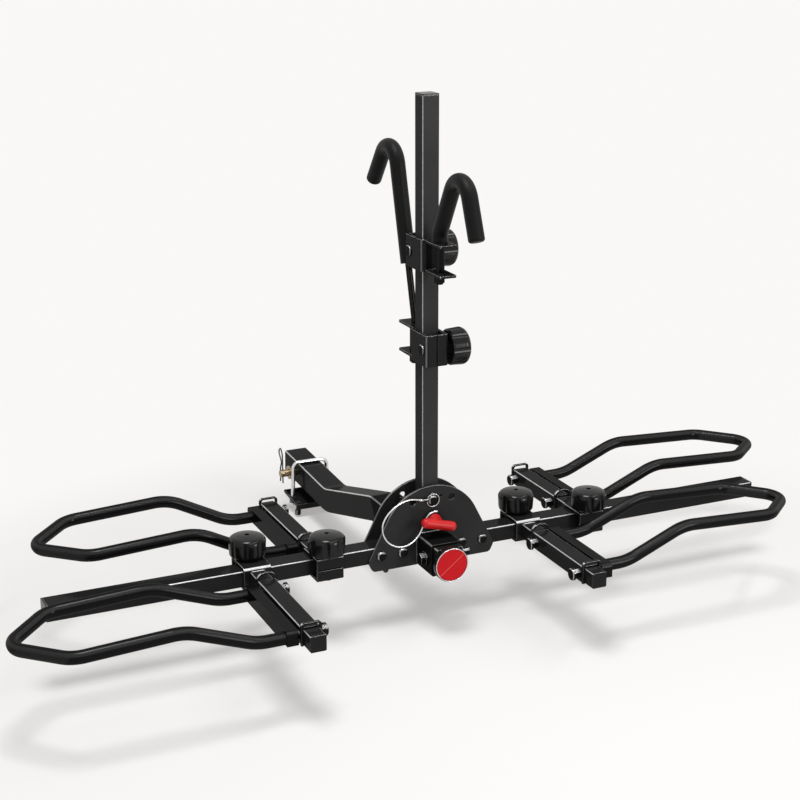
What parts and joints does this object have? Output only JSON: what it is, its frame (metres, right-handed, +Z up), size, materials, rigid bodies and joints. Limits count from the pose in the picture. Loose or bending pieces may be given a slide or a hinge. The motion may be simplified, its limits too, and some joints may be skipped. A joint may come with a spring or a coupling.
{
  "type": "hitch bike rack",
  "caption": "Platform hitch bike rack with sliding wheel hoops on a beam, a fold-down mast with adjustable frame hooks, a square receiver shank and an anti-rattle clamp.",
  "frame": {"origin": "where the hitch pin's axis crosses the shank's axis", "axes": "+X along the beam to the right seen from behind the vehicle, +Y forward into the vehicle's receiver, +Z up"},
  "size_m": [1.607, 0.9823, 0.9528],
  "materials": {
    "black_coat": "satin black powder coat",
    "black_plastic": "moulded black plastic",
    "black_rubber": "matt black rubber",
    "red_plastic": "red moulded plastic",
    "red_lens": "clear red reflector with a prism pattern",
    "black_steel": "black oxide fasteners",
    "bright_zinc": "bright zinc plate",
    "yellow_zinc": "yellow zinc plate",
    "spring_steel": "dark spring wire",
    "cable": "clear-coated steel cable"
  },
  "bodies": {
    "rack": {"shank": "black_coat", "reflector_cup": "black_plastic", "reflector_lens": "red_lens", "sleeve": "black_coat", "sleeve_bolts": "black_steel", "sleeve_nuts": "black_steel", "front_plate": "black_coat", "rear_plate": "black_coat", "beam_left": "black_coat", "beam_right": "black_coat", "beam_caps": "black_plastic", "plate_bolts": "black_steel", "plate_nuts": "black_steel", "pivot_bolt": "black_steel", "lanyard": "cable"},
    "mast": {"mast": "black_coat", "mast_cap": "black_plastic"},
    "lock": {"lock_pin": "bright_zinc", "lock_handle": "red_plastic"},
    "hitch_pin": {"hitch_pin": "yellow_zinc", "pin_washer": "yellow_zinc"},
    "r_clip": {"r_clip": "spring_steel"},
    "anti_rattle": {"u_bolt": "bright_zinc", "rattle_plate": "black_coat", "rattle_nuts": "black_steel"},
    "upper_clamp": {"upper_hook_clamp": "black_coat", "upper_hook_bolt": "black_steel"},
    "upper_knob": {"upper_hook_knob": "black_plastic"},
    "upper_hook": {"upper_hook_rod": "black_coat", "upper_hook_rubber": "black_rubber"},
    "lower_clamp": {"lower_hook_clamp": "black_coat", "lower_hook_bolt": "black_steel"},
    "lower_knob": {"lower_hook_knob": "black_plastic"},
    "lower_hook": {"lower_hook_rod": "black_coat", "lower_hook_rubber": "black_rubber"},
    "front_outer_holder": {"front_outer_clamp": "black_coat", "front_outer_bolts": "black_steel", "front_outer_arm": "black_coat", "front_outer_channel": "black_coat", "front_outer_hoop": "black_coat"},
    "front_outer_knob": {"front_outer_knob": "black_plastic"},
    "rear_inner_holder": {"rear_inner_clamp": "black_coat", "rear_inner_bolts": "black_steel", "rear_inner_arm": "black_coat", "rear_inner_channel": "black_coat", "rear_inner_hoop": "black_coat"},
    "rear_inner_knob": {"rear_inner_knob": "black_plastic"},
    "front_inner_holder": {"front_inner_clamp": "black_coat", "front_inner_bolts": "black_steel", "front_inner_arm": "black_coat", "front_inner_channel": "black_coat", "front_inner_hoop": "black_coat"},
    "front_inner_knob": {"front_inner_knob": "black_plastic"},
    "rear_outer_holder": {"rear_outer_clamp": "black_coat", "rear_outer_bolts": "black_steel", "rear_outer_arm": "black_coat", "rear_outer_channel": "black_coat", "rear_outer_hoop": "black_coat"},
    "rear_outer_knob": {"rear_outer_knob": "black_plastic"}
  },
  "joints": [
    {"name": "mast_fold", "type": "hinge", "parent": "rack", "child": "mast", "pos_m": [0, -0.608, 0.1498], "axis": [0, 1, 0], "range_deg": [-90, 0]},
    {"name": "lock_pull", "type": "slide", "parent": "rack", "child": "lock", "axis": [0, 1, 0], "range_m": [-0.05, 0.008]},
    {"name": "hitch_pin_play", "type": "slide", "parent": "rack", "child": "hitch_pin", "axis": [1, 0, 0], "range_m": [-0.006, 0.0025]},
    {"name": "r_clip_pull", "type": "slide", "parent": "hitch_pin", "child": "r_clip", "axis": [0, 0, 1], "range_m": [0, 0.08]},
    {"name": "anti_rattle_slide", "type": "slide", "parent": "rack", "child": "anti_rattle", "axis": [0, 0.9986, 0.0523], "range_m": [-0.1, 0]},
    {"name": "upper_clamp_slide", "type": "slide", "parent": "mast", "child": "upper_clamp", "axis": [0, 0, 1], "range_m": [-0.08, 0.2]},
    {"name": "upper_knob_turn", "type": "hinge", "parent": "upper_clamp", "child": "upper_knob", "pos_m": [0, -0.5815, 0.5978], "axis": [1, 0, 0], "continuous": true},
    {"name": "lower_clamp_slide", "type": "slide", "parent": "mast", "child": "lower_clamp", "axis": [0, 0, 1], "range_m": [-0.12, 0.08]},
    {"name": "lower_knob_turn", "type": "hinge", "parent": "lower_clamp", "child": "lower_knob", "pos_m": [0, -0.6345, 0.4318], "axis": [1, 0, 0], "continuous": true},
    {"name": "upper_hook_swivel", "type": "hinge", "parent": "upper_clamp", "child": "upper_hook", "pos_m": [0, -0.659, 0.5978], "axis": [0, 0, -1], "range_deg": [-60, 60]},
    {"name": "lower_hook_swivel", "type": "hinge", "parent": "lower_clamp", "child": "lower_hook", "pos_m": [0, -0.557, 0.4318], "axis": [0, 0, 1], "range_deg": [-35, 60]},
    {"name": "front_outer_slide", "type": "slide", "parent": "rack", "child": "front_outer_holder", "axis": [1, 0, 0], "range_m": [-0.288, 0.02]},
    {"name": "front_outer_knob_turn", "type": "hinge", "parent": "front_outer_holder", "child": "front_outer_knob", "pos_m": [-0.335, -0.5815, 0.0788], "axis": [0, 0, 1], "continuous": true},
    {"name": "rear_inner_slide", "type": "slide", "parent": "rack", "child": "rear_inner_holder", "axis": [1, 0, 0], "range_m": [-0.04, 0.03]},
    {"name": "rear_inner_knob_turn", "type": "hinge", "parent": "rear_inner_holder", "child": "rear_inner_knob", "pos_m": [-0.206, -0.6345, 0.0788], "axis": [0, 0, 1], "continuous": true},
    {"name": "front_inner_slide", "type": "slide", "parent": "rack", "child": "front_inner_holder", "axis": [1, 0, 0], "range_m": [-0.03, 0.04]},
    {"name": "front_inner_knob_turn", "type": "hinge", "parent": "front_inner_holder", "child": "front_inner_knob", "pos_m": [0.198, -0.5815, 0.0788], "axis": [0, 0, 1], "continuous": true},
    {"name": "rear_outer_slide", "type": "slide", "parent": "rack", "child": "rear_outer_holder", "axis": [1, 0, 0], "range_m": [-0.02, 0.3]},
    {"name": "rear_outer_knob_turn", "type": "hinge", "parent": "rear_outer_holder", "child": "rear_outer_knob", "pos_m": [0.324, -0.6345, 0.0788], "axis": [0, 0, 1], "continuous": true}
  ]
}
